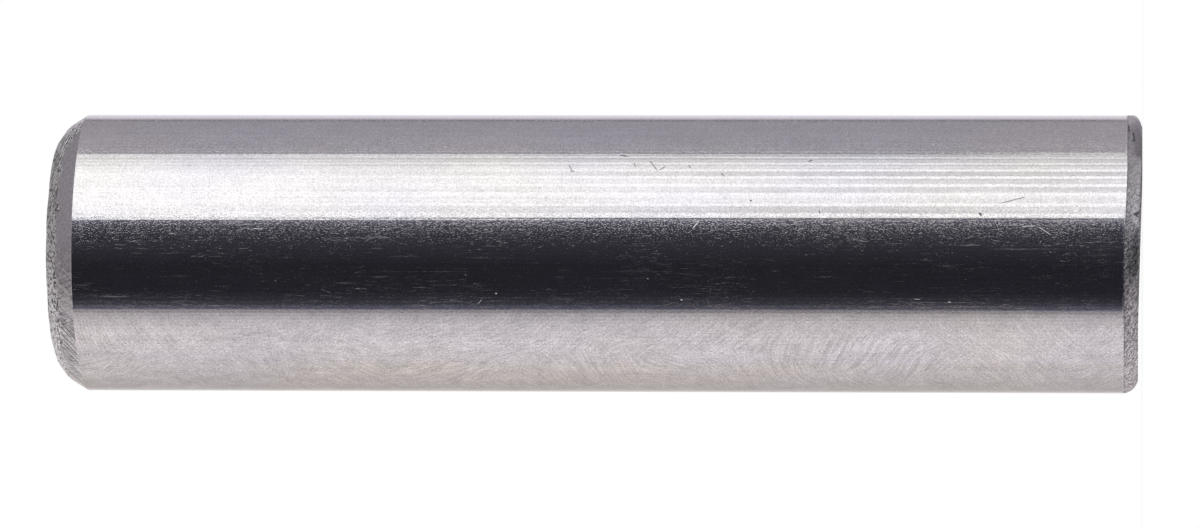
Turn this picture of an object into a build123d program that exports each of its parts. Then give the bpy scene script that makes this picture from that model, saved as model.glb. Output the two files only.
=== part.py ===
from build123d import *
import os

# Solid piston pin, a hardened steel rod ground all round, standing on its square end.
# Millimetres. The axis is +Z and the origin is the centre of the bottom face.

pin_diameter = 12.0
pin_length = 47.0

# Bottom end: the blank's rolled corner, cut off by the ground cylinder at a soft edge.
foot_corner_length = 0.68
foot_corner_depth = 0.50
foot_corner_bulge = 0.12

# Top end: a ground lead-in chamfer, then the steeper bevel that was left as formed.
lead_chamfer_length = 0.80
lead_chamfer_depth = 0.48
formed_bevel_length = 0.47
formed_bevel_depth = 0.65

# Rounding between the two top bevels, and between the formed bevel and the flat top face.
bevel_blend_radius = 0.80
face_blend_radius = 0.30

pin_radius = pin_diameter / 2
foot_face_radius = pin_radius - foot_corner_depth
formed_bevel_start_radius = pin_radius - lead_chamfer_depth
top_face_radius = formed_bevel_start_radius - formed_bevel_depth
formed_bevel_start_height = pin_length - formed_bevel_length
lead_chamfer_start_height = formed_bevel_start_height - lead_chamfer_length

with BuildPart() as piston_pin:
    with BuildSketch(Plane.XZ) as half_section:
        with BuildLine():
            Line((0, 0), (foot_face_radius, 0))
            SagittaArc((foot_face_radius, 0), (pin_radius, foot_corner_length), -foot_corner_bulge)
            Polyline(
                (pin_radius, foot_corner_length),
                (pin_radius, lead_chamfer_start_height),
                (formed_bevel_start_radius, formed_bevel_start_height),
                (top_face_radius, pin_length),
                (0, pin_length),
                (0, 0),
            )
        make_face()
        bevel_corner = half_section.vertices().sort_by(Axis.Y)[-3]
        fillet(bevel_corner, radius=bevel_blend_radius)
        face_corner = half_section.vertices().group_by(Axis.Y)[-1].sort_by(Axis.X)[-1]
        fillet(face_corner, radius=face_blend_radius)
    revolve(axis=Axis.Z)

piston_pin.part.label = "piston_pin"
os.makedirs("parts", exist_ok=True)
export_step(piston_pin.part, "parts/piston_pin.step")
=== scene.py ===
import math

import bpy
from mathutils import Matrix, Vector, noise


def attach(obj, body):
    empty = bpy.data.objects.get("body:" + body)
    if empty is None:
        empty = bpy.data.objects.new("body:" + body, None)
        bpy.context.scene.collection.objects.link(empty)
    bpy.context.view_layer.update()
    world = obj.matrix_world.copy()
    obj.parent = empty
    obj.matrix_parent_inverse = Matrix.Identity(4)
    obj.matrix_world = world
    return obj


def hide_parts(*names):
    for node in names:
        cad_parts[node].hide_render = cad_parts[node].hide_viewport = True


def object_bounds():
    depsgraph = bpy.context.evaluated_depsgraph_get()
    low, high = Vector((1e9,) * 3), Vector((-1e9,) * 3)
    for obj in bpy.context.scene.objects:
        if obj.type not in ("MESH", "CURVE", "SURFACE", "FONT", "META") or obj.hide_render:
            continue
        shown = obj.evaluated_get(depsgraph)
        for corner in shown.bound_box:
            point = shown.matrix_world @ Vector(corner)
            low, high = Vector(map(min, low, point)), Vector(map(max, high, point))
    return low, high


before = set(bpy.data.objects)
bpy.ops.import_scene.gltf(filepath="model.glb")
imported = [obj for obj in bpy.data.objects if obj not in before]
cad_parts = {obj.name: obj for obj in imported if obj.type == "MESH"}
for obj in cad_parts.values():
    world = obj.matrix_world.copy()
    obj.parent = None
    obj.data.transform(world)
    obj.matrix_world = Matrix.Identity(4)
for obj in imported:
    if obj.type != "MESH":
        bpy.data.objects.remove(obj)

cad_low, cad_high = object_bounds()
MM = 0.001

# The pin's form, as in the CAD part: a ground cylinder with a rolled corner at its foot,
# and a ground chamfer and a formed bevel at its lead end.
PIN_RADIUS = cad_high.x
PIN_LENGTH = cad_high.z
FOOT_CORNER_LENGTH = 0.68 * MM
FOOT_CORNER_DEPTH = 0.50 * MM
FOOT_CORNER_BULGE = 0.12 * MM
LEAD_CHAMFER_LENGTH = 0.80 * MM
LEAD_CHAMFER_DEPTH = 0.48 * MM
FORMED_BEVEL_LENGTH = 0.47 * MM
FORMED_BEVEL_DEPTH = 0.65 * MM
BEVEL_BLEND_RADIUS = 0.80 * MM
FACE_BLEND_RADIUS = 0.30 * MM

FOOT_FACE_RADIUS = PIN_RADIUS - FOOT_CORNER_DEPTH
BEVEL_START_RADIUS = PIN_RADIUS - LEAD_CHAMFER_DEPTH
TOP_FACE_RADIUS = BEVEL_START_RADIUS - FORMED_BEVEL_DEPTH
BEVEL_START_HEIGHT = PIN_LENGTH - FORMED_BEVEL_LENGTH
CHAMFER_START_HEIGHT = BEVEL_START_HEIGHT - LEAD_CHAMFER_LENGTH

# Mesh density: points round the pin, and rows along each stretch of its outline.
SEGMENTS = 720
FACE_ROWS = 10
FOOT_ROWS = 24
RIM_ROWS = 8
RIM_ZONE = 0.5 * MM
SHANK_ROWS = 8
CHAMFER_ROWS = 16
BLEND_ROWS = 8
BEVEL_ROWS = 12
FACE_BLEND_ROWS = 6
SHARP_ANGLE = math.radians(22)

# Relief of the formed corners, which the grinding wheel did not reach.
DENT_SIZE = 1.1 * MM
DENT_DEPTH = 0.030 * MM
SKIN_SIZE = 0.32 * MM
SKIN_DEPTH = 0.006 * MM
FOOT_EDGE_DEPTH = 0.035 * MM
EXTRA_BULGE = 0.09 * MM
# How the dents and the skin are made: the noise's fall-off, gap and octaves, and the values of it
# between which a dent goes from nothing to its full depth.
RELIEF_NOISE = (1.0, 2.0, 2)
DENT_VALUES = (-0.2, 0.8)
# How far the formed skin runs out over the ground chamfer.
SKIN_RUN_OUT = 0.35 * MM
# Shares of the foot corner's height between which the formed skin, and the worn edge of the face, set in.
FOOT_SKIN_SHARES = (1.0, 0.7)
WORN_EDGE_SHARES = (0.35, 0.0)
WORN_EDGE_MEAN = 0.5
# The foot is a little out of square: its rim runs lower on the +X side, and its face lifts on the -X side.
# Sides are shares of the radius along X, between which an effect sets in.
RIM_RISE = 0.03 * MM
RIM_SLANT = 0.07 * MM
RIM_SLANT_SIDES = (-0.05, 0.60)
FACE_SLANT = 0.17 * MM
FACE_SLANT_SIDES = (0.55, -0.50)
EXTRA_BULGE_SIDES = (0.2, 0.9)
# The one deep nick on the foot's corner: azimuth, height, half width round the pin, half height, depth.
NICK = (math.radians(17.0), 0.15 * MM, 0.09 * MM, 0.08 * MM, 0.09 * MM)

# Camera, from a fit to the photo's outline: beside the foot, tilted up along the pin.
CAMERA_DISTANCE = 0.3308
CAMERA_HEIGHT = 0.385 * MM
CAMERA_PITCH = math.radians(3.99)
CAMERA_YAW = math.radians(-0.079)
CAMERA_ROLL = math.radians(0.11)
CAMERA_LENS = 229.3
CAMERA_SENSOR = 36.0
CAMERA_CLIP_START = 0.01

# In the materials lengths are in millimetres and azimuths in radians, and the rates of a noise are
# in features per millimetre. An azimuth is 0 on the camera's side and grows towards +X.

# The mean of a noise, and the values between which most of it lies, or nearly all.
MEAN = 0.5
MOST = (0.3, 0.7)
NEARLY_ALL = (0.2, 0.8)

# Chatter marks: how many lobes round the pin, where the first one lies, and how unevenly they are spaced.
CHATTER_LOBES = 92.5
CHATTER_START = math.radians(16.85)
CHATTER_WARP = -2.26
CHATTER_WARP_RATE = 6.6
# Rates of the noise that lets the facets wander, or breaks them up, and how far that shifts their phase.
CHATTER_WANDER = ((0.2, 0.2, 0.04), 0.8)
CHATTER_BREAKS = ((6.0, 6.0, 2.5), 1.6)
# The cosines of the phase between which a facet sets in.
FACET_EDGE = (0.88, 0.10)
# The facets fade towards the lead end, between these heights, and beside one azimuth, within these distances.
CHATTER_HEIGHTS = (42.0, 12.0)
CALM_AZIMUTH = math.radians(23.2)
CALM_DISTANCES = (0.02, 0.05)
# The finest ground lines: how many there are round the pin, and how far their phase wanders.
FINE_LOBES = 205.0
FINE_WANDER = 5.0
# How far the burnished line, with its painted highlight, reaches above the foot's rim, and the width over
# which it ends.
RIM_LINE = 0.08
RIM_LINE_END = 0.03

# Fine scratches come in loose clusters: the rates of these, the values of their noise between which a cluster
# starts, how much rarer a scratch is outside them, and how soft its edge is.
CLUSTER_RATES = (0.5, 0.5, 0.22)
CLUSTER_VALUES = (0.40, 0.62)
CLUSTER_RARITY = 0.06
HAIR_EDGE = 0.05
# Kinds of streak: the lean from the pin's axis in degrees, the width and the length.
RISING_STROKES = (28, 0.075, 0.65)
FALLING_STROKES = (-48, 0.075, 0.50)
LEAD_STREAKS = (72, 0.24, 0.14)
LEAD_HATCH = (-45, 0.085, 1.0)
LEAD_CROSSING = ((38, 0.07, 0.30), (-38, 0.07, 0.30))
FOOT_SLANT = (48, 0.085, 0.13)
# Kinds of fine scratch: the same, and how rare it is.
SHORT_HAIRS = (
    (3, 0.03, 0.55, 0.71),
    (-8, 0.03, 0.40, 0.72),
    (38, 0.035, 0.25, 0.73),
    (-52, 0.035, 0.20, 0.73),
)
LONG_HAIRS = (
    (1, 0.03, 1.6, 0.67),
    (-3, 0.03, 1.1, 0.69),
    (14, 0.03, 0.7, 0.71),
    (0, 0.04, 7.0, 0.70),
)
CORE_HAIRS = (
    (2, 0.03, 0.9, 0.62),
    (-7, 0.03, 0.6, 0.63),
    (28, 0.03, 0.35, 0.65),
)
LEAD_HAIRS = (
    (40, 0.06, 0.25, 0.60),
    (-35, 0.06, 0.25, 0.60),
    (75, 0.18, 0.08, 0.62),
)
FOOT_HAIRS = (
    (58, 0.09, 0.12, 0.56),
    (66, 0.12, 0.10, 0.58),
)
# Single marks on the shank: azimuth in degrees, height, half length, half width, the lean from the pin's axis
# in degrees, and how deep it is beside the deepest.
MARKS = (
    (44.5, 22.14, 0.20, 0.07, 15, 0.6),
    (41.7, 14.15, 0.12, 0.05, -35, 0.8),
    (38.8, 20.83, 0.41, 0.03, 58, 0.8),
    (37.6, 20.45, 0.22, 0.03, -40, 0.8),
    (39.5, 21.65, 0.15, 0.03, 75, 0.8),
    (38.4, 19.30, 0.14, 0.03, 62, 0.8),
    (37.5, 24.39, 0.23, 0.03, 70, 0.8),
    (35.9, 24.30, 0.12, 0.03, 20, 0.8),
    (34.3, 17.87, 0.12, 0.035, 50, 0.9),
    (22.5, 5.48, 0.64, 0.02, -16, 0.6),
    (22.1, 16.64, 0.06, 0.05, 20, 0.9),
    (17.0, 13.70, 0.10, 0.03, 80, 1.0),
    (16.2, 6.86, 0.09, 0.06, 60, 1.0),
    (12.1, 18.97, 0.23, 0.028, -52, 0.6),
    (11.6, 4.81, 0.36, 0.02, -3, 0.25),
    (9.4, 4.09, 0.44, 0.02, 33, 0.3),
    (10.0, 37.7, 0.25, 0.02, 3, 0.3),
    (6.6, 12.62, 0.96, 0.018, 2, 0.12),
    (1.6, 35.2, 0.14, 0.022, 20, 0.3),
    (0.9, 34.7, 0.18, 0.022, 12, 0.3),
    (0.0, 34.5, 0.14, 0.022, -25, 0.3),
    (-0.9, 34.9, 0.12, 0.022, 15, 0.25),
    (-15.4, 34.9, 0.14, 0.022, 25, 0.3),
    (-16.2, 34.7, 0.14, 0.022, 25, 0.3),
    (-4.4, 10.22, 0.60, 0.018, -14, 0.1),
    (-4.1, 41.82, 0.12, 0.025, 0, 0.3),
    (2.0, 25.9, 0.14, 0.028, -55, 0.6),
    (-8.8, 28.8, 0.05, 0.05, 0, 1.0),
    (-16.8, 27.5, 0.045, 0.045, 0, 0.9),
    (-20.3, 28.2, 0.20, 0.022, -50, 0.4),
    (-10.4, 21.01, 0.035, 0.035, 0, 1.0),
    (-11.5, 36.97, 0.04, 0.04, 0, 0.7),
    (-14.7, 5.83, 0.50, 0.018, -5, 0.1),
    (-19.4, 19.58, 0.05, 0.045, 20, 1.0),
    (-20.1, 8.17, 0.05, 0.045, 0, 1.0),
    (-18.8, 9.55, 0.16, 0.022, 4, 0.4),
    (-59.8, 21.8, 2.6, 0.022, 0, 1.0),
)
# The same for the foot's corner, with the nick as the last one, and for the lead end's chamfer.
FOOT_MARKS = (
    (64.2, 0.57, 0.45, 0.045, 87, 1.0),
    (57.4, 0.36, 0.45, 0.055, 86, 1.0),
    (54.1, 0.37, 0.10, 0.090, 60, 1.0),
    (17.5, 0.24, 0.22, 0.070, -45, 1.0),
)
LEAD_MARKS = (
    (-9.0, 46.2, 0.35, 0.02, -63, 1.0),
    (-5.0, 46.3, 0.25, 0.02, -58, 1.0),
)
# The share of a mark's half length over which it keeps its full depth.
MARK_CORE = 0.5

# Azimuths between which a finish of the shank sets in. Two pairs are a rise and a fall.
HANDLED_SIDES = (-0.25, -0.7)
GROUND_SIDES = (-0.4, 0.1)
BRIGHT_EDGE_SIDES = ((0.62, 0.70), (0.86, 0.80))
# The chatter's painted shade lies only between these azimuths, where the reflected light shows the facets.
CHATTER_SIDES = ((0.22, 0.28), (0.86, 0.74))
DARK_MARK_SIDES = (0.24, 0.28)
# From the dark band's upper edge to its middle the short threads set in, and the long ones grow duller.
THREAD_SIDES = (0.06, 0.16)
CORE_SIDES = (0.18, 0.10)
# How much fine scratches, marks and the burnished line at the foot's rim add to the shank's roughness.
HAIR_DULLNESS = 0.09
MARK_DULLNESS = 0.2
RIM_DULLNESS = 0.20
# The dullness of the threads at the two ends of their sides, and of the polish itself, patch by patch.
THREAD_DULLNESS = (0.34, 0.20)
CORE_DULLNESS = (0.0, 0.20)
POLISH = (0.035, 0.055)
# The values of their noise between which the pits set in, and the warmer patches.
PIT_VALUES = (0.57, 0.65)
WARM_VALUES = (0.35, 0.65)
# How far the belt's strokes bend, and the values of a noise between which one lean takes over from the other.
STROKE_BEND = 0.7
STROKE_CHANGE = (0.44, 0.56)
# The shank's relief: waves, ground lobes, pits, scratches and marks.
WAVE_HEIGHT = 0.0006
LOBE_HEIGHT = 0.00025
PIT_DEPTH = 0.0016
HAIR_DEPTH = 0.0015
MARK_DEPTH = 0.012

# The lead end: where the formed skin starts and where the seam's pits end, as heights beside the bevel's
# lower edge, how far the skin's edge wanders, and how far it runs down on the +X side.
SKIN_START = (-0.12, -0.02)
SEAM_END = (0.22, 0.06)
SKIN_WANDER = 0.13
SKIN_DROP = 0.9
SKIN_DROP_SIDES = (0.75, 1.35)
# The dull line, with a painted highlight, just above the chamfer's lower rim, as heights above the rim.
LEAD_RIM_LINE = (0.06, 0.02)
LEAD_RIM_DULLNESS = 0.45
# Azimuths between which the chamfer's hairs, hatching, crossed scratches and warmer colour set in, and
# between which the formed skin grows streaky and pale.
LEAD_HAIR_SIDES = (0.3, -0.1)
LEAD_HATCH_SIDES = (-0.45, -0.62)
LEAD_CROSSING_SIDES = (0.1, -0.2)
LEAD_WARMTH_SIDES = (0.1, -0.7)
STREAK_SIDES = (0.2, 0.8)
PALE_SIDES = (0.3, 0.7)
# Values of their noise between which the hatching and the pits set in, those along the seam sooner, and
# between which the skin's spots and streaks go from one tone to the other.
HATCH_VALUES = (0.48, 0.55)
SEAM_PIT_VALUES = (0.50, 0.56)
LEAD_PIT_VALUES = (0.56, 0.62)
SPOT_VALUES = (0.42, 0.58)
# How dull the chamfer is, and the formed skin.
LEAD_DULLNESS = (0.16, 0.32)
# The lead end's relief: streaks, pits, hatching and marks.
STREAK_HEIGHT = 0.05
LEAD_PIT_DEPTH = 0.04
HATCH_DEPTH = 0.006
LEAD_MARK_DEPTH = 0.008

# Azimuths between which the foot's leathery folds set in, and its scuffs, as a rise and a fall.
FOLD_SIDES = (0.75, -0.1)
SCUFF_SIDES = ((0.02, 0.14), (0.62, 0.48))
# Painted shade and light that runs round the foot's skin: two azimuths, the tones there, and whether it is
# smooth.
FOOT_PAINTED_TONES = (
    (1.0, 0.65, 0.72, 0.62, True),
    (1.08, 1.28, 1.0, 1.7, False),
    (-0.15, -1.1, 1.0, 2.15, False),
)
# Patches of painted shade and painted highlight on it: the azimuth of the middle, two distances from there,
# the tones at these, and whether it is smooth.
FOOT_PAINTED_PATCHES = (
    (0.45, 0.08, 0.25, 0.82, 1.0, True),
    (0.0, 0.12, 0.30, 1.6, 1.0, True),
)
# The dark line just below the foot's rim, as depths below the rim.
FOOT_LINE = (0.07, 0.02)
# The values of the leather's noise between which the painted shade in its creases turns to painted highlight
# on its ridges.
CREASE_VALUES = (0.43, 0.57)
FOOT_METALLIC = 0.92
# The foot's relief: folds and marks.
FOLD_HEIGHT = 0.07
FOOT_MARK_DEPTH = 0.03

# The rings left by facing: the rate of their sine along the radius, and their height.
RING_RATE = 40.0
RING_HEIGHT = 0.0006
GRAIN_HEIGHT = 0.003

# Colours of the steel: the darker or cooler one and the lighter or warmer one of each finish.
SHANK_COLOURS = ((0.655, 0.645, 0.675), (0.678, 0.655, 0.645))
CHAMFER_COLOURS = ((0.675, 0.64, 0.69), (0.80, 0.755, 0.755))
BEVEL_COLOURS = ((0.86, 0.80, 0.81), (0.94, 0.88, 0.89))
FOOT_COLOURS = ((0.50, 0.47, 0.495), (0.50, 0.485, 0.505))
FACE_COLOURS = ((0.62, 0.61, 0.62), (0.66, 0.65, 0.655))


def point_on_arc(start, end, bulge, t):
    """A point on the arc from start to end that stands bulge outside the chord."""
    chord = end - start
    half = chord.length / 2
    radius = (half * half + bulge * bulge) / (2 * bulge)
    outward = Vector((chord.y, -chord.x)).normalized()
    centre = (start + end) / 2 - outward * (radius - bulge)
    sweep = math.asin(half / radius)
    angle = (2 * t - 1) * sweep
    along = chord.normalized()
    return centre + outward * radius * math.cos(angle) + along * radius * math.sin(angle)


def arc(start, end, bulge, count):
    """Evenly spaced points after start along the arc, up to and including end."""
    return [point_on_arc(start, end, bulge, (i + 1) / count) for i in range(count)]


def blend_arc(before, corner, after, radius):
    """Start, end and bulge of the arc that rounds a corner of the outline."""
    into = (corner - before).normalized()
    out = (after - corner).normalized()
    turn = into.angle(out)
    cut = radius * math.tan(turn / 2)
    return corner - into * cut, corner + out * cut, radius * (1 - math.cos(turn / 2))


def spread(start, end, count):
    """Evenly spaced points after start, up to and including end."""
    return [start.lerp(end, (i + 1) / count) for i in range(count)]


def outline():
    """The half section from the foot's centre to the top's: (radius, height) points with their zone."""
    foot_centre = Vector((0, 0))
    foot_edge = Vector((FOOT_FACE_RADIUS, 0))
    foot_rim = Vector((PIN_RADIUS, FOOT_CORNER_LENGTH))
    lead_rim = Vector((PIN_RADIUS, CHAMFER_START_HEIGHT))
    bevel_corner = Vector((BEVEL_START_RADIUS, BEVEL_START_HEIGHT))
    face_corner = Vector((TOP_FACE_RADIUS, PIN_LENGTH))
    top_centre = Vector((0, PIN_LENGTH))
    rim_step = Vector((0, RIM_ZONE))

    blend = blend_arc(lead_rim, bevel_corner, face_corner, BEVEL_BLEND_RADIUS)
    face_blend = blend_arc(bevel_corner, face_corner, top_centre, FACE_BLEND_RADIUS)
    stretches = (
        ("foot_face", spread(foot_centre, foot_edge, FACE_ROWS)),
        ("foot_corner", arc(foot_edge, foot_rim, FOOT_CORNER_BULGE, FOOT_ROWS)),
        ("shank", spread(foot_rim, foot_rim + rim_step, RIM_ROWS)),
        ("shank", spread(foot_rim + rim_step, lead_rim - rim_step, SHANK_ROWS)),
        ("shank", spread(lead_rim - rim_step, lead_rim, RIM_ROWS)),
        ("chamfer", spread(lead_rim, blend[0], CHAMFER_ROWS)),
        ("bevel", arc(*blend, BLEND_ROWS)),
        ("bevel", spread(blend[1], face_blend[0], BEVEL_ROWS)),
        ("bevel", arc(*face_blend, FACE_BLEND_ROWS)),
        ("top_face", spread(face_blend[1], top_centre, FACE_ROWS)[:-1]),
    )
    return [(point, zone) for zone, points in stretches for point in points]


def outline_normals(rows):
    """The outward direction at each row of the outline."""
    normals = []
    for i in range(len(rows)):
        before = rows[max(i - 1, 0)][0]
        after = rows[min(i + 1, len(rows) - 1)][0]
        along = (after - before).normalized()
        normals.append(Vector((along.y, -along.x)))
    return normals


def fade(value, low, high):
    """0 at low and before it, 1 at high and beyond it, and straight between them."""
    return min(max((value - low) / (high - low), 0.0), 1.0)


def rough_skin(spot):
    """Dents and skin of the formed corners, as a distance outwards that is never above zero."""
    dents = noise.fractal(spot / DENT_SIZE, *RELIEF_NOISE)
    skin = noise.fractal(spot / SKIN_SIZE, *RELIEF_NOISE)
    return -DENT_DEPTH * fade(dents, *DENT_VALUES) + SKIN_DEPTH * min(skin, 0.0)


def nick(place, turn):
    """How deep the one nick of the foot's corner is at this place."""
    azimuth, height, width, length, depth = NICK
    across = (turn - azimuth) * PIN_RADIUS / width
    along = (place.y - height) / length
    return depth * math.exp(-across * across - along * along)


def foot_relief(place, spot, turn):
    """How far the foot's corner stands off the ideal arc at this place."""
    share = place.y / FOOT_CORNER_LENGTH
    formed = fade(share, *FOOT_SKIN_SHARES)
    round_up = EXTRA_BULGE * 4 * share * (1 - share) * fade(math.sin(turn), *EXTRA_BULGE_SIDES)
    wear = WORN_EDGE_MEAN + noise.noise(spot / DENT_SIZE)
    worn_edge = FOOT_EDGE_DEPTH * fade(share, *WORN_EDGE_SHARES) * wear
    return rough_skin(spot) * formed + round_up - worn_edge - nick(place, turn)


def relief(place, zone, turn):
    """How far the real surface stands off the ideal one at this place."""
    spot = Vector((place.x * math.sin(turn), -place.x * math.cos(turn), place.y))
    if zone == "bevel":
        return rough_skin(spot)
    if zone == "chamfer":
        return rough_skin(spot) * fade(place.y, BEVEL_START_HEIGHT - SKIN_RUN_OUT, BEVEL_START_HEIGHT)
    if zone == "foot_corner":
        return foot_relief(place, spot, turn)
    return 0.0


def out_of_square(place, turn):
    """How far the foot's rim and face lie above the ideal ones at this place."""
    sideways = math.sin(turn)
    rim = RIM_RISE + RIM_SLANT * (1 - 2 * fade(sideways, *RIM_SLANT_SIDES))
    if place.y > FOOT_CORNER_LENGTH:
        return rim * fade(place.y, FOOT_CORNER_LENGTH + RIM_ZONE, FOOT_CORNER_LENGTH)
    face = FACE_SLANT * fade(place.x * sideways / PIN_RADIUS, *FACE_SLANT_SIDES)
    share = place.y / FOOT_CORNER_LENGTH
    return rim * share + face * (1 - share)


def lathe_points(rows):
    """The points of the lathe with its relief: the foot's centre, ring after ring, and the top's centre."""
    turns = [2 * math.pi * s / SEGMENTS for s in range(SEGMENTS)]
    points = [(0, 0, out_of_square(Vector((0, 0)), 0.0))]
    for (place, zone), normal in zip(rows, outline_normals(rows)):
        for turn in turns:
            radius, height = place + normal * relief(place, zone, turn)
            radius = min(radius, PIN_RADIUS)
            height = max(height + out_of_square(place, turn), 0.0)
            points.append((radius * math.sin(turn), -radius * math.cos(turn), height))
    points.append((0, 0, PIN_LENGTH))
    return points


def lathe_faces(rows):
    """The faces between these points and the zone of each: a fan at both centres, and rings between them."""
    steps = [(s, (s + 1) % SEGMENTS) for s in range(SEGMENTS)]
    faces = [(0, 1 + n, 1 + s) for s, n in steps]
    zones = ["foot_face"] * SEGMENTS
    low = 1
    for _, zone in rows[1:]:
        high = low + SEGMENTS
        faces += [(low + s, low + n, high + n, high + s) for s, n in steps]
        zones += [zone] * SEGMENTS
        low = high
    top = low + SEGMENTS
    faces += [(low + s, low + n, top) for s, n in steps]
    zones += ["top_face"] * SEGMENTS
    return faces, zones


def pin_mesh():
    """A lathe of the outline with its relief, closed at both centres, and the zone of each face."""
    rows = outline()
    faces, zones = lathe_faces(rows)
    mesh = bpy.data.meshes.new("pin_body")
    mesh.from_pydata(lathe_points(rows), [], faces)
    mesh.validate()
    mesh.polygons.foreach_set("use_smooth", [True] * len(faces))
    mesh.set_sharp_from_angle(angle=SHARP_ANGLE)
    return mesh, zones


class Graph:
    """The nodes of one steel, with a short way to add and link them. It knows the place in millimetres."""

    def __init__(self, name):
        self.material = bpy.data.materials.new(name)
        self.material.use_nodes = True
        self.tree = self.material.node_tree
        self.shader = self.tree.nodes["Principled BSDF"]
        metres = self.add("ShaderNodeTexCoord").outputs["Object"]
        self.place = self.add("ShaderNodeMapping", Vector=metres, Scale=[1 / MM] * 3).outputs[0]
        self.x, self.y, self.z = self.add("ShaderNodeSeparateXYZ", Vector=self.place).outputs

    def add(self, kind, settings=None, **sockets):
        """A node with its settings, and its sockets linked or set by name."""
        made = self.tree.nodes.new(kind)
        for name, value in (settings or {}).items():
            setattr(made, name, value)
        for name, value in sockets.items():
            self.put(made.inputs[name.replace("_", " ")], value)
        return made

    def put(self, socket, value):
        """Link a socket to an output, or set it to a number."""
        if isinstance(value, bpy.types.NodeSocket):
            self.tree.links.new(value, socket)
        else:
            socket.default_value = value

    def math(self, operation, *values):
        """One operation on its values."""
        made = self.tree.nodes.new("ShaderNodeMath")
        made.operation = operation
        for socket, value in zip(made.inputs, values):
            self.put(socket, value)
        return made.outputs[0]

    def total(self, operation, values):
        """All the values joined by one operation."""
        joined = values[0]
        for value in values[1:]:
            joined = self.math(operation, joined, value)
        return joined

    def plus(self, *values):
        """The sum of all the values."""
        return self.total("ADD", values)

    def minus(self, value, less):
        """The first value less the second."""
        return self.math("SUBTRACT", value, less)

    def times(self, *values):
        """The product of all the values."""
        return self.total("MULTIPLY", values)

    def size_of(self, value):
        """A value without its sign."""
        return self.math("ABSOLUTE", value)

    def noise(self, vector, rate, detail=2.0, roughness=0.5):
        """Noise with one rate along all axes."""
        made = self.add("ShaderNodeTexNoise", Vector=vector, Scale=rate, Detail=detail, Roughness=roughness)
        return made.outputs["Fac"]

    def patches(self, vector, rates, detail=2.0, roughness=0.5):
        """Noise with a rate of its own along X, Y and Z."""
        stretched = self.add("ShaderNodeMapping", Vector=vector, Scale=rates).outputs[0]
        return self.noise(stretched, 1.0, detail, roughness)

    def ramp(self, value, low, high, to_low=0.0, to_high=1.0, smooth=False):
        """From one number, where the value is low, to another, where it is high, and held beyond them."""
        made = self.tree.nodes.new("ShaderNodeMapRange")
        made.interpolation_type = "SMOOTHSTEP" if smooth else "LINEAR"
        for socket, number in zip(made.inputs, (value, low, high, to_low, to_high)):
            self.put(socket, number)
        return made.outputs[0]

    def between(self, mask, off, on):
        """One number where the mask is 0 and another where it is 1."""
        return self.ramp(mask, 0.0, 1.0, off, on)

    def window(self, value, rise, fall, smooth=False):
        """1 between a rise and a fall, each given by where it is 0 and where it is 1."""
        return self.times(self.ramp(value, *rise, smooth=smooth), self.ramp(value, *fall, smooth=smooth))

    def azimuth(self):
        """The angle round the pin, from the camera's side towards +X."""
        return self.math("ARCTAN2", self.x, self.times(self.y, -1.0))

    def mixed(self, factor, first, second):
        """A colour between two others."""
        colour = self.add("ShaderNodeMix", {"data_type": "RGBA"})
        self.put(colour.inputs["Factor"], factor)
        self.put(colour.inputs["A"], first)
        self.put(colour.inputs["B"], second)
        return colour.outputs["Result"]

    def tinted(self, factor, colours, tone):
        """Between two colours by a factor, made lighter or darker by a tone."""
        first, second = colours
        colour = self.mixed(factor, (*first, 1), (*second, 1))
        return self.add("ShaderNodeVectorMath", {"operation": "SCALE"}, Vector=colour, Scale=tone).outputs[0]

    def finish(self, colour, roughness, height, metallic=1.0):
        """Metal of this colour and roughness, with a relief given in millimetres."""
        bump = self.add("ShaderNodeBump", Strength=1.0, Distance=MM, Height=height)
        self.put(self.shader.inputs["Base Color"], colour)
        self.put(self.shader.inputs["Roughness"], roughness)
        self.put(self.shader.inputs["Normal"], bump.outputs[0])
        self.put(self.shader.inputs["Metallic"], metallic)
        return self.material


def foot_rim(g):
    """The height of the foot's rim in millimetres, which falls towards the +X side."""
    low, high = [side * PIN_RADIUS / MM for side in RIM_SLANT_SIDES]
    middle = FOOT_CORNER_LENGTH + RIM_RISE
    return g.ramp(g.x, low, high, (middle + RIM_SLANT) / MM, (middle - RIM_SLANT) / MM)


def straightened(g):
    """The place moved out to the shank's radius, so that streaks keep their length on a sloped face."""
    level = g.add("ShaderNodeCombineXYZ", X=g.x, Y=g.y).outputs[0]
    outward = g.add("ShaderNodeVectorMath", {"operation": "NORMALIZE"}, Vector=level).outputs[0]
    moved = g.add("ShaderNodeVectorMath", {"operation": "MULTIPLY_ADD"}, Vector=outward)
    g.put(moved.inputs[1], [PIN_RADIUS / MM] * 3)
    g.put(moved.inputs[2], g.add("ShaderNodeCombineXYZ", Z=g.z).outputs[0])
    return moved.outputs[0]


def drawn_out(g, place, lean, width, length, bend=0.0):
    """Noise in streaks that climb the pin, leaning from its axis by an angle in degrees, with a bend."""
    rate = math.tan(math.radians(lean)) / (PIN_RADIUS / MM)
    turn = g.plus(g.times(g.z, rate), bend)
    turned = g.add("ShaderNodeVectorRotate", {"rotation_type": "Z_AXIS"}, Vector=place, Angle=turn).outputs[0]
    return g.patches(turned, (1 / width, 1 / width, 1 / length), detail=1.0)


def hairlines(g, place, kinds):
    """Fine scratches in loose clusters. 1 on a scratch, 0 off it."""
    crowd = g.ramp(g.patches(place, CLUSTER_RATES), *CLUSTER_VALUES, CLUSTER_RARITY, 0.0)
    lines = []
    for *streak, rarity in kinds:
        lines.append(g.ramp(g.minus(drawn_out(g, place, *streak), crowd), rarity, rarity + HAIR_EDGE))
    return g.total("MAXIMUM", lines)


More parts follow.
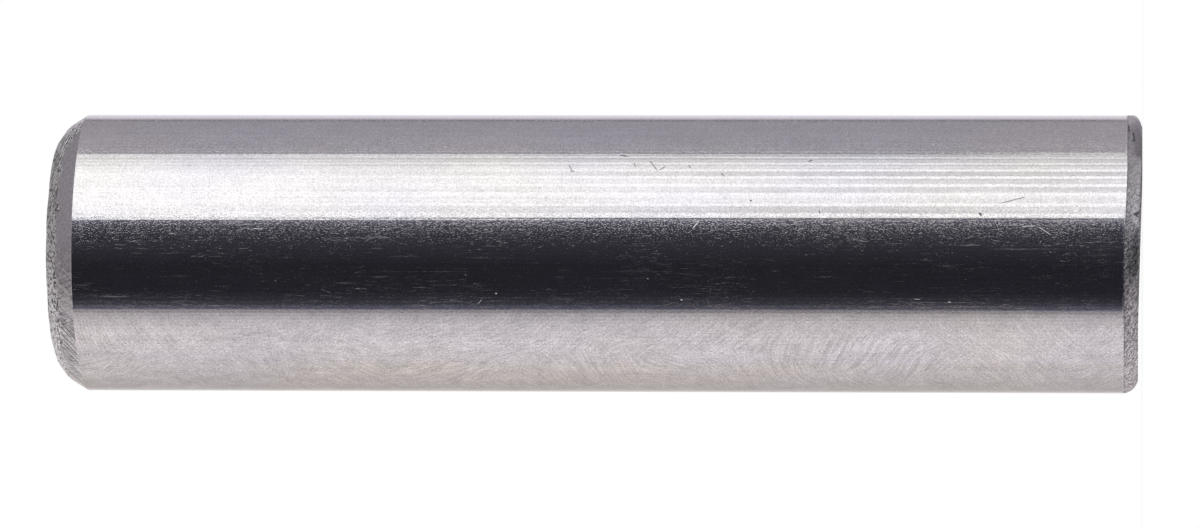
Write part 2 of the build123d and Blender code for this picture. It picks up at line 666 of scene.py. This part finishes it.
def mark(g, angle, azimuth, along, half_length, half_width, lean, depth):
    """One scratch or pit at its own place. Its depth on it, 0 off it."""
    around = g.times(g.minus(angle, math.radians(azimuth)), PIN_RADIUS / MM)
    up = g.minus(g.z, along)
    sine = math.sin(math.radians(lean))
    cosine = math.cos(math.radians(lean))
    length_wise = g.plus(g.times(up, cosine), g.times(around, sine))
    width_wise = g.minus(g.times(around, cosine), g.times(up, sine))
    on_length = g.ramp(g.size_of(length_wise), half_length, half_length * MARK_CORE)
    on_width = g.ramp(g.size_of(width_wise), half_width, 0.0)
    return g.times(on_length, on_width, depth)


def all_marks(g, angle, marks):
    """The depth of the marks of one list, wherever they lie."""
    return g.total("MAXIMUM", [mark(g, angle, *m) for m in marks])


def chatter(g, angle):
    """Straight dull facets along one side of the pin, left by the grinding wheel, painted darker only where
    the reflected light shows them: partly painted shade. 1 in a facet, 0 between.
    """
    turn = g.minus(angle, CHATTER_START)
    warp = g.times(g.math("SINE", g.times(turn, CHATTER_WARP_RATE)), CHATTER_WARP)
    wander_rates, wander_shift = CHATTER_WANDER
    break_rates, break_shift = CHATTER_BREAKS
    wander = g.times(g.patches(g.place, wander_rates, detail=0.0), wander_shift)
    broken = g.times(g.patches(g.place, break_rates, detail=1.0), break_shift)
    phase = g.plus(g.times(turn, CHATTER_LOBES), warp, wander, broken)
    wave = g.ramp(g.math("COSINE", phase), *FACET_EDGE)
    calm = g.ramp(g.size_of(g.minus(angle, CALM_AZIMUTH)), *CALM_DISTANCES, 0.45, 1.0)
    depth = g.ramp(g.patches(g.place, (2.2, 2.2, 0.05), detail=0.0), 0.30, 0.60, 0.55, 1.0)
    along = g.ramp(g.z, *CHATTER_HEIGHTS, 0.03, 1.0)
    return g.times(wave, depth, calm, along, g.window(angle, *CHATTER_SIDES, smooth=True))


def fine_lobes(g, angle):
    """The finest lines of the grind, dead straight along the pin. -1 to 1."""
    wander = g.times(g.patches(g.place, (0.9, 0.9, 0.03), detail=0.0), FINE_WANDER)
    return g.math("COSINE", g.plus(g.times(angle, FINE_LOBES), wander))


def belt_strokes(g):
    """Fine curved strokes left by the polishing belt and by handling. -1 to 1."""
    bend = g.times(g.patches(g.place, (0.26, 0.26, 0.26), detail=0.0), STROKE_BEND)
    rising = drawn_out(g, g.place, *RISING_STROKES, bend)
    falling = drawn_out(g, g.place, *FALLING_STROKES, bend)
    patch = g.patches(g.place, (0.28, 0.28, 0.16), detail=0.0)
    return g.ramp(g.ramp(patch, *STROKE_CHANGE, rising, falling), *MOST, -1.0, 1.0)


def shank_tone(g, angle, cloud, lobes, hairs, marks, rim):
    """How light the shank is: ground lines and chatter on one side, strokes from handling on the other, and a
    painted highlight at the foot's rim.
    """
    handled = g.ramp(angle, *HANDLED_SIDES)
    mottle = g.patches(g.place, (1.6, 1.6, 1.1), detail=3.0, roughness=0.6)
    grain = g.noise(g.place, 15.0, detail=0.0)
    lay = g.patches(g.place, (1.2, 1.2, 11.0), detail=1.0)
    lines = g.patches(g.place, (14.0, 14.0, 0.06), detail=0.0)
    bright_edge = g.window(angle, *BRIGHT_EDGE_SIDES)
    return g.times(
        g.ramp(cloud, *MOST, 0.97, 1.03),
        g.plus(g.times(g.minus(mottle, MEAN), g.between(handled, 0.2, 0.45)), 1.0),
        # Chatter painted as darker stripes only in the sector where the reflected light shows it: partly
        # painted shade.
        g.between(chatter(g, angle), 1.0, 0.66),
        g.ramp(lay, *NEARLY_ALL, 0.97, 1.03),
        g.ramp(lines, *NEARLY_ALL, 0.96, 1.04),
        g.plus(g.times(lobes, g.between(bright_edge, 0.02, 0.08)), 1.0),
        g.ramp(g.times(belt_strokes(g), handled), -1.0, 1.0, 0.84, 1.16),
        g.between(g.times(hairs, handled), 1.0, 0.84),
        g.between(g.times(marks, g.ramp(angle, *DARK_MARK_SIDES)), 1.0, 0.12),
        # A painted highlight along the burnished line at the foot's rim.
        g.between(rim, 1.0, 1.04),
        g.plus(g.times(g.minus(grain, MEAN), g.between(handled, 0.55, 0.80)), 1.0))


def shank_roughness(g, angle, cloud, hairs, marks, rim, ground):
    """How dull the shank is: its polish, and the scratches and marks in it."""
    threads = hairlines(g, g.place, LONG_HAIRS)
    core_threads = hairlines(g, g.place, CORE_HAIRS)
    return g.plus(
        g.ramp(cloud, *MOST, *POLISH),
        g.times(hairs, ground, HAIR_DULLNESS),
        g.times(threads, g.ramp(angle, *THREAD_SIDES, *THREAD_DULLNESS)),
        g.times(core_threads, g.ramp(angle, *CORE_SIDES, *CORE_DULLNESS)),
        g.times(marks, MARK_DULLNESS),
        g.times(rim, RIM_DULLNESS))


def shank_relief(g, lobes, hairs, marks, ground):
    """The shank's relief in millimetres."""
    pits = g.ramp(g.noise(g.place, 17.0, detail=1.0), *PIT_VALUES)
    marred = g.plus(g.times(pits, -PIT_DEPTH), g.times(hairs, -HAIR_DEPTH))
    return g.plus(
        g.times(g.noise(g.place, 8.0, detail=1.0), WAVE_HEIGHT),
        g.times(lobes, LOBE_HEIGHT),
        g.times(marred, ground),
        g.times(marks, -MARK_DEPTH))


def ground_steel():
    """The centreless-ground and polished shank."""
    g = Graph("ground_steel")
    angle = g.azimuth()
    cloud = g.patches(g.place, (0.5, 0.5, 0.3), detail=3.0, roughness=0.6)
    warmth = g.ramp(g.patches(g.place, (0.25, 0.25, 0.12), detail=1.0), *WARM_VALUES)
    lobes = fine_lobes(g, angle)
    hairs = hairlines(g, g.place, SHORT_HAIRS)
    marks = all_marks(g, angle, MARKS)
    # The burnished line at the foot's rim: duller, and with a painted highlight in the colour.
    rim = g.ramp(g.minus(g.z, foot_rim(g)), RIM_LINE, RIM_LINE - RIM_LINE_END)
    ground = g.ramp(angle, *GROUND_SIDES, 0.25, 1.0)
    colour = g.tinted(warmth, SHANK_COLOURS, shank_tone(g, angle, cloud, lobes, hairs, marks, rim))
    roughness = shank_roughness(g, angle, cloud, hairs, marks, rim, ground)
    return g.finish(colour, roughness, shank_relief(g, lobes, hairs, marks, ground))


def skin_and_seam(g, angle):
    """Where the blank's formed skin lies on the lead end, and the seam along its edge."""
    corner = BEVEL_START_HEIGHT / MM
    drop = g.ramp(angle, *SKIN_DROP_SIDES, 0.0, SKIN_DROP, smooth=True)
    wander = g.ramp(g.noise(g.place, 1.6, detail=3.0), *MOST, -SKIN_WANDER, SKIN_WANDER)
    edge = g.plus(g.z, drop, wander)
    formed = g.ramp(edge, *[corner + height for height in SKIN_START])
    seam = g.times(formed, g.ramp(edge, *[corner + height for height in SEAM_END]))
    return formed, seam


def chamfer_tone(g, angle, wrapped, cloud, grain, hatched, marks, rim):
    """How light the ground chamfer is, with its hatching, its crossed scratches and a painted highlight along
    its lower rim.
    """
    hairs = g.times(hairlines(g, wrapped, LEAD_HAIRS), g.ramp(angle, *LEAD_HAIR_SIDES))
    one_way, other_way = [drawn_out(g, wrapped, *streak) for streak in LEAD_CROSSING]
    crossed = g.times(g.minus(one_way, other_way), g.ramp(angle, *LEAD_CROSSING_SIDES, 0.0, 1.5))
    return g.times(
        g.ramp(cloud, *MOST, 0.96, 1.04),
        g.ramp(grain, *MOST, 0.86, 1.14),
        g.between(hatched, 1.0, 0.43),
        g.between(marks, 1.0, 0.75),
        g.between(hairs, 1.0, 0.70),
        g.plus(crossed, 1.0),
        # A painted highlight along the chamfer's lower rim.
        g.between(rim, 1.0, 1.12))


def bevel_tone(g, angle, streaks, contrast, cloud, grain, specks, pits):
    """How light the formed skin is, with its streaks, spots and pits."""
    spots = g.ramp(specks, *SPOT_VALUES, 0.38, -0.36)
    return g.times(
        g.ramp(cloud, *MOST, 0.92, 1.08),
        g.plus(g.times(g.ramp(streaks, *SPOT_VALUES, -0.32, 0.38), contrast), 1.0),
        g.plus(spots, 1.0),
        g.ramp(angle, *PALE_SIDES, 1.0, 1.22),
        g.ramp(grain, *NEARLY_ALL, 0.80, 1.20),
        g.between(pits, 1.0, 0.25))


def lead_steel():
    """The lead end: a smooth ground chamfer that runs out into the blank's rough formed skin."""
    g = Graph("lead_steel")
    angle = g.azimuth()
    wrapped = straightened(g)
    cloud = g.noise(g.place, 0.9, detail=4.0, roughness=0.6)
    grain = g.noise(g.place, 9.0, detail=1.0)
    specks = g.noise(g.place, 8.0, detail=2.0, roughness=0.65)
    formed, seam = skin_and_seam(g, angle)
    # The dull line above the chamfer's lower rim, which also carries a painted highlight in the colour.
    rim = g.ramp(g.z, *[CHAMFER_START_HEIGHT / MM + height for height in LEAD_RIM_LINE])
    streaks = drawn_out(g, wrapped, *LEAD_STREAKS)
    contrast = g.ramp(angle, *STREAK_SIDES, 0.6, 2.4)
    hatch = g.ramp(drawn_out(g, wrapped, *LEAD_HATCH), *HATCH_VALUES)
    hatched = g.times(g.ramp(angle, *LEAD_HATCH_SIDES, smooth=True), hatch)
    seam_pits = g.times(g.ramp(specks, *SEAM_PIT_VALUES), seam)
    pits = g.math("MAXIMUM", seam_pits, g.ramp(specks, *LEAD_PIT_VALUES))
    marks = all_marks(g, angle, LEAD_MARKS)

    warmth = g.ramp(g.plus(angle, g.ramp(cloud, *MOST, -0.3, 0.3)), *LEAD_WARMTH_SIDES)
    smooth_tone = chamfer_tone(g, angle, wrapped, cloud, grain, hatched, marks, rim)
    formed_tone = bevel_tone(g, angle, streaks, contrast, cloud, grain, specks, pits)
    colour = g.mixed(formed, g.tinted(warmth, CHAMFER_COLOURS, smooth_tone),
                     g.tinted(cloud, BEVEL_COLOURS, formed_tone))
    roughness = g.math("MAXIMUM", g.between(formed, *LEAD_DULLNESS), g.times(rim, LEAD_RIM_DULLNESS))
    skin = g.plus(g.times(g.minus(streaks, MEAN), contrast, STREAK_HEIGHT), g.times(pits, -LEAD_PIT_DEPTH))
    height = g.plus(
        g.times(skin, formed),
        g.times(hatched, -HATCH_DEPTH),
        g.times(marks, -LEAD_MARK_DEPTH),
        g.times(grain, GRAIN_HEIGHT))
    return g.finish(colour, roughness, height)


def foot_tone(g, angle, wrapped, leather, folds, marks):
    """How light the foot's skin is, with its folds, scuffs and marks, the line at its rim, and painted shade
    and light round the pin.
    """
    cloud = g.noise(g.place, 1.1, detail=4.0, roughness=0.6)
    grain = g.noise(g.place, 14.0, detail=1.0)
    line = g.ramp(g.minus(foot_rim(g), g.z), *FOOT_LINE)
    scuffs = g.times(hairlines(g, wrapped, FOOT_HAIRS), g.window(angle, *SCUFF_SIDES))
    # Painted shade in the leather's low creases and painted highlight on its ridges, which follow its bumps.
    crease_shade_and_ridge_highlight = g.times(g.ramp(leather, *CREASE_VALUES, -0.55, 0.50), folds)
    # Painted shade and light round the pin, as tones by azimuth and as patches.
    painted_light_and_shade = [g.ramp(angle, *row) for row in FOOT_PAINTED_TONES]
    painted_light_and_shade += [g.ramp(g.size_of(g.minus(angle, middle)), *row) for middle, *row in FOOT_PAINTED_PATCHES]
    return g.times(
        g.ramp(cloud, *MOST, 0.92, 1.08),
        g.ramp(grain, *NEARLY_ALL, 0.88, 1.12),
        g.between(line, 1.0, 0.72),
        g.times(*painted_light_and_shade),
        g.between(scuffs, 1.0, 1.4),
        g.plus(crease_shade_and_ridge_highlight, 1.0),
        g.between(marks, 1.0, 0.15))


def foot_steel():
    """The foot's rolled corner: a dull skin, smooth on the +X side and leathery on the other."""
    g = Graph("foot_steel")
    angle = g.azimuth()
    wrapped = straightened(g)
    folds = g.ramp(angle, *FOLD_SIDES, 0.32, 1.0, smooth=True)
    crumpled = g.noise(g.place, 12.5, detail=1.0, roughness=0.7)
    leather = g.times(g.plus(crumpled, drawn_out(g, wrapped, *FOOT_SLANT)), 0.5)
    marks = all_marks(g, angle, FOOT_MARKS)
    colour = g.tinted(folds, FOOT_COLOURS, foot_tone(g, angle, wrapped, leather, folds, marks))
    roughness = g.ramp(folds, 0.12, 1.0, 0.68, 0.62)
    height = g.plus(g.times(leather, folds, FOLD_HEIGHT), g.times(marks, -FOOT_MARK_DEPTH))
    return g.finish(colour, roughness, height, FOOT_METALLIC)


def faced_steel():
    """The flat ends, with the faint rings of facing."""
    g = Graph("faced_steel")
    radius = g.math("SQRT", g.plus(g.times(g.x, g.x), g.times(g.y, g.y)))
    rings = g.math("SINE", g.times(radius, RING_RATE))
    cloud = g.noise(g.place, 0.8, detail=4.0)
    grain = g.noise(g.place, 9.0, detail=1.0)
    tone = g.times(g.ramp(cloud, *MOST, 0.92, 1.05), g.ramp(grain, *NEARLY_ALL, 0.93, 1.07))
    height = g.plus(g.times(rings, RING_HEIGHT), g.times(grain, GRAIN_HEIGHT))
    return g.finish(g.tinted(cloud, FACE_COLOURS, tone), g.ramp(cloud, *MOST, 0.24, 0.34), height)


def piston_pin():
    """The finished pin, which stands for the CAD node."""
    mesh, zones = pin_mesh()
    pin = bpy.data.objects.new("pin_body", mesh)
    bpy.context.scene.collection.objects.link(pin)
    finishes = {"shank": 0, "chamfer": 1, "bevel": 1, "foot_corner": 2, "foot_face": 3, "top_face": 3}
    for material in (ground_steel(), lead_steel(), foot_steel(), faced_steel()):
        mesh.materials.append(material)
    mesh.polygons.foreach_set("material_index", [finishes[zone] for zone in zones])
    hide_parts("piston_pin")
    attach(pin, "root")


# The side cards' strengths: (azimuth in degrees from the camera's side, strength).
DARK_STOPS = (
    (-45.1, 0.24), (-42.2, 0.10), (-38.0, 0.050), (-30.0, 0.026), (-9.0, 0.024), (0.0, 0.035),
    (9.0, 0.048), (15.0, 0.056), (20.0, 0.078), (24.0, 0.125), (27.2, 0.20),
)
KEY_STOPS = (
    (27.2, 1.40), (31.0, 1.46), (64.0, 1.46), (70.0, 1.36), (78.0, 1.15), (84.0, 0.98), (86.0, 1.30),
)
UPPER_STOPS = (
    (86.0, 0.46), (95.0, 0.45), (106.0, 0.46), (122.0, 0.43), (130.0, 0.40), (136.0, 0.37),
    (137.5, 0.24), (140.5, 0.24), (143.0, 0.55), (146.5, 0.76), (150.5, 0.84), (157.0, 0.88),
    (180.0, 0.95),
)
LOWER_STOPS = (
    (-97.0, 0.77), (-79.0, 0.84), (-64.0, 0.81), (-55.0, 0.69), (-49.0, 0.56), (-45.1, 0.34),
)
FAR_STOPS = (
    (-180.0, 0.95), (-163.0, 0.80), (-150.0, 0.56), (-142.0, 0.55), (-128.0, 0.60), (-110.0, 0.72),
    (-97.0, 0.77),
)
# How far the key card's two seams lean over the card's height, in degrees.
DARK_SEAM_LEAN = -1.4
UPPER_SEAM_LEAN = -3.2
# The side cards: name, strengths, tint, and the lean of the first and of the last seam.
SIDE_CARDS = (
    ("dark_flag", DARK_STOPS, (0.92, 0.91, 1.18), 0.0, DARK_SEAM_LEAN),
    ("key_card", KEY_STOPS, (1.0, 1.0, 1.02), DARK_SEAM_LEAN, UPPER_SEAM_LEAN),
    ("upper_card", UPPER_STOPS, (0.995, 0.955, 1.05), UPPER_SEAM_LEAN, 0.0),
    ("lower_card", LOWER_STOPS, (1.035, 0.975, 0.995), 0.0, 0.0),
    ("far_card", FAR_STOPS, (1.045, 0.975, 0.955), 0.0, 0.0),
)
CARD_RADIUS = 0.040
CARD_HEIGHT = 0.062
CARD_GAP = 0.1 * MM
CARD_LIFT = 0.02 * MM
# How many degrees of azimuth lie between two columns of a side card.
CARD_STEP = 2.0
# Next to the foot the cards are drawn in round the camera's side. Shares of the azimuth at the foot, and at a
# ring outside it, on the -X side and on the +X side.
FOOT_SHARES = (0.20, 0.42)
CORNER_RING = PIN_RADIUS + 1.2 * MM
CORNER_SHARES = (0.38, 0.62)
CORNER_SHARE_SIDES = (45.0, 88.0)
# Where the cards' straight run over the table starts, as a share of the way to their upright part.
REFLECTED_START = 0.1
# The sides between which the upper and the far card spread, so that they meet on the table behind the pin.
MEETING_SIDES = (140.0, 180.0)

# The overhead cards' strengths: (share of the width from -X to +X, strength). One card hangs on the camera's
# side, and one beyond the pin.
NEAR_STOPS = (
    (0.0, 0.60), (0.327, 0.56), (0.355, 0.52), (0.41, 0.38), (0.45, 0.28), (0.48, 0.25), (0.53, 0.31),
    (0.60, 0.32), (1.0, 0.33),
)
BEYOND_STOPS = (
    (0.0, 0.62), (0.30, 0.62), (0.39, 0.74), (0.42, 0.72), (0.44, 0.62), (0.46, 0.52), (0.487, 0.40),
    (0.51, 0.32), (0.60, 0.31), (1.0, 0.33),
)
OVERHEAD_HALF_WIDTH = 0.35
OVERHEAD_HEIGHT = 0.16
OVERHEAD_SEAM = 0.02
OVERHEAD_TINT = (1.0, 0.98, 1.0)
# The overhead cards: name, the two edges along Y, and strengths.
OVERHEAD_CARDS = (
    ("near_card", -OVERHEAD_HALF_WIDTH, OVERHEAD_SEAM, NEAR_STOPS),
    ("beyond_card", OVERHEAD_SEAM, OVERHEAD_HALF_WIDTH, BEYOND_STOPS),
)

WHITE = (1, 1, 1, 1)
FLOOR_RADIUS = 3.0
FLOOR_POINTS = 128
# How bright the pale floor shows in the steel next to the pin's foot, and how much of its white glows
# for the camera, which softens the faint line of the pin's shadow.
FLOOR_IN_REFLECTIONS = 0.45
FLOOR_GLOW = 0.6


def glowing(name, stops, tint):
    """A soft light surface whose strength follows the stops across its first UV axis."""
    material = bpy.data.materials.new(name)
    material.use_nodes = True
    material.cycles.emission_sampling = "NONE"
    tree = material.node_tree
    tree.nodes.clear()
    place = tree.nodes.new("ShaderNodeUVMap")
    axis = tree.nodes.new("ShaderNodeSeparateXYZ")
    curve = tree.nodes.new("ShaderNodeFloatCurve")
    light = tree.nodes.new("ShaderNodeEmission")
    output = tree.nodes.new("ShaderNodeOutputMaterial")
    light.inputs["Color"].default_value = (*tint, 1)
    line = curve.mapping.curves[0]
    curve.mapping.use_clip = False
    while len(line.points) < len(stops):
        line.points.new(0, 0)
    for point, (across, strength) in zip(line.points, stops):
        point.location = (across, strength)
        point.handle_type = "VECTOR"
    curve.mapping.update()
    tree.links.new(place.outputs[0], axis.inputs[0])
    tree.links.new(axis.outputs["X"], curve.inputs["Value"])
    tree.links.new(curve.outputs[0], light.inputs["Strength"])
    tree.links.new(light.outputs[0], output.inputs["Surface"])
    return material


def hung_card(name, points, faces, shares, stops, tint):
    """A card of light that the steel reflects, and that neither the camera nor the floor sees.

    Each point has its share of the way across, which the stops go by.
    """
    mesh = bpy.data.meshes.new(name)
    mesh.from_pydata(points, [], faces)
    across = mesh.uv_layers.new(name="across")
    for loop in mesh.loops:
        across.data[loop.index].uv = (shares[loop.vertex_index], 0)
    mesh.materials.append(glowing(name, stops, tint))
    card = bpy.data.objects.new(name, mesh)
    bpy.context.scene.collection.objects.link(card)
    card.visible_camera = False
    card.visible_diffuse = False
    card.visible_transmission = False
    card.visible_volume_scatter = False
    card.visible_shadow = False


def on_table(radius, degrees):
    """A point on the table at this distance from the pin's axis and azimuth."""
    turn = math.radians(degrees)
    return Vector((radius * math.sin(turn), -radius * math.cos(turn), CARD_LIFT))


def card_column(azimuth, lean):
    """The points of a side card at this azimuth, from the pin's foot outwards and then up.

    On the table they follow the line in which the pin reflects the card's upright part, so a reflected edge
    stays straight. They are drawn in next to the foot, and spread behind the pin.
    """
    reflected_share = 1 / (2 - PIN_RADIUS / CARD_RADIUS)
    reflected_share += (1 - reflected_share) * fade(abs(azimuth), *MEETING_SIDES)
    inner = FOOT_FACE_RADIUS + CARD_GAP
    aside = fade(abs(azimuth), *CORNER_SHARE_SIDES)
    side = 1 if azimuth > 0 else 0
    foot_share = FOOT_SHARES[side] + (reflected_share - FOOT_SHARES[side]) * aside
    corner_share = CORNER_SHARES[side] + (reflected_share - CORNER_SHARES[side]) * aside
    bend = on_table(CARD_RADIUS, azimuth)
    return [on_table(inner, azimuth * foot_share),
            on_table(CORNER_RING, azimuth * corner_share),
            on_table(inner, azimuth * reflected_share).lerp(bend, REFLECTED_START),
            bend,
            on_table(CARD_RADIUS, azimuth + lean) + Vector((0, 0, CARD_HEIGHT - CARD_LIFT))]


def side_card(name, stops, tint, first_lean, last_lean):
    """A bent card: it lies on the table from under the pin's corner outwards, then stands up round it."""
    first = stops[0][0]
    last = stops[-1][0]
    count = max(2, round((last - first) / CARD_STEP))
    columns = []
    for i in range(count + 1):
        azimuth = first + (last - first) * i / count
        lean = first_lean + (last_lean - first_lean) * i / count
        columns.append(card_column(azimuth, lean))
    rows = len(columns[0])
    points = [tuple(point) for column in columns for point in column]
    shares = [i / count for i in range(count + 1) for _ in range(rows)]
    faces = []
    for i in range(count):
        for row in range(rows - 1):
            corner = i * rows + row
            faces.append((corner, corner + rows, corner + rows + 1, corner + 1))
    across = [((azimuth - first) / (last - first), strength) for azimuth, strength in stops]
    hung_card(name, points, faces, shares, across, tint)


def overhead_card(name, near, far, stops):
    """A grey card above the pin between two distances along Y, brighter towards the photo's lower edge."""
    half = OVERHEAD_HALF_WIDTH
    corners = ((-half, near), (half, near), (half, far), (-half, far))
    points = [(x, y, OVERHEAD_HEIGHT) for x, y in corners]
    hung_card(name, points, [(0, 1, 2, 3)], (0, 1, 1, 0), stops, OVERHEAD_TINT)


def white_room():
    """Even white light from all sides."""
    world = bpy.data.worlds.new("white_room")
    bpy.context.scene.world = world
    world.use_nodes = True
    world.cycles.sampling_method = "NONE"
    room = world.node_tree.nodes["Background"]
    room.inputs["Color"].default_value = WHITE
    room.inputs["Strength"].default_value = 1.0


def floor_paint():
    """Matt white that glows partly for the camera, and is an even pale grey to the steel."""
    paint = bpy.data.materials.new("floor")
    paint.use_nodes = True
    nodes = paint.node_tree.nodes
    links = paint.node_tree.links
    surface = nodes["Principled BSDF"]
    surface.inputs["Base Color"].default_value = WHITE
    surface.inputs["Roughness"].default_value = 1.0
    surface.inputs["Specular IOR Level"].default_value = 0.0
    path = nodes.new("ShaderNodeLightPath")
    share = nodes.new("ShaderNodeMath")
    white = nodes.new("ShaderNodeEmission")
    reflected = nodes.new("ShaderNodeEmission")
    seen = nodes.new("ShaderNodeMixShader")
    either = nodes.new("ShaderNodeMixShader")
    share.operation = "MULTIPLY"
    share.inputs[1].default_value = FLOOR_GLOW
    reflected.inputs["Strength"].default_value = FLOOR_IN_REFLECTIONS
    links.new(path.outputs["Is Camera Ray"], share.inputs[0])
    links.new(share.outputs[0], seen.inputs["Fac"])
    links.new(surface.outputs[0], seen.inputs[1])
    links.new(white.outputs[0], seen.inputs[2])
    links.new(path.outputs["Is Glossy Ray"], either.inputs["Fac"])
    links.new(seen.outputs[0], either.inputs[1])
    links.new(reflected.outputs[0], either.inputs[2])
    links.new(either.outputs[0], nodes["Material Output"].inputs["Surface"])
    return paint


def studio():
    """A white room with a pale floor, and cards that shape what the steel reflects."""
    white_room()
    bpy.ops.mesh.primitive_circle_add(vertices=FLOOR_POINTS, radius=FLOOR_RADIUS, fill_type="NGON")
    floor = bpy.context.object
    floor.name = "floor"
    floor.data.materials.append(floor_paint())
    for card in SIDE_CARDS:
        side_card(*card)
    for card in OVERHEAD_CARDS:
        overhead_card(*card)


def photo_camera():
    """The photo's view: the pin lies across the frame, with its foot at the right."""
    forward = Vector((math.sin(CAMERA_YAW) * math.cos(CAMERA_PITCH),
                      math.cos(CAMERA_YAW) * math.cos(CAMERA_PITCH), math.sin(CAMERA_PITCH)))
    down_the_pin = Vector((0, 0, -1))
    level_right = (down_the_pin - forward * down_the_pin.dot(forward)).normalized()
    level_up = level_right.cross(forward)
    right = level_right * math.cos(CAMERA_ROLL) + level_up * math.sin(CAMERA_ROLL)
    up = level_up * math.cos(CAMERA_ROLL) - level_right * math.sin(CAMERA_ROLL)
    data = bpy.data.cameras.new("photo_camera")
    data.lens = CAMERA_LENS
    data.sensor_width = CAMERA_SENSOR
    data.clip_start = CAMERA_CLIP_START
    camera = bpy.data.objects.new("photo_camera", data)
    turn = Matrix((right, up, -forward)).transposed().to_4x4()
    camera.matrix_world = Matrix.Translation((0, -CAMERA_DISTANCE, CAMERA_HEIGHT)) @ turn
    bpy.context.scene.collection.objects.link(camera)
    bpy.context.scene.camera = camera


piston_pin()
studio()
photo_camera()
bpy.context.scene.view_settings.view_transform = "Standard"
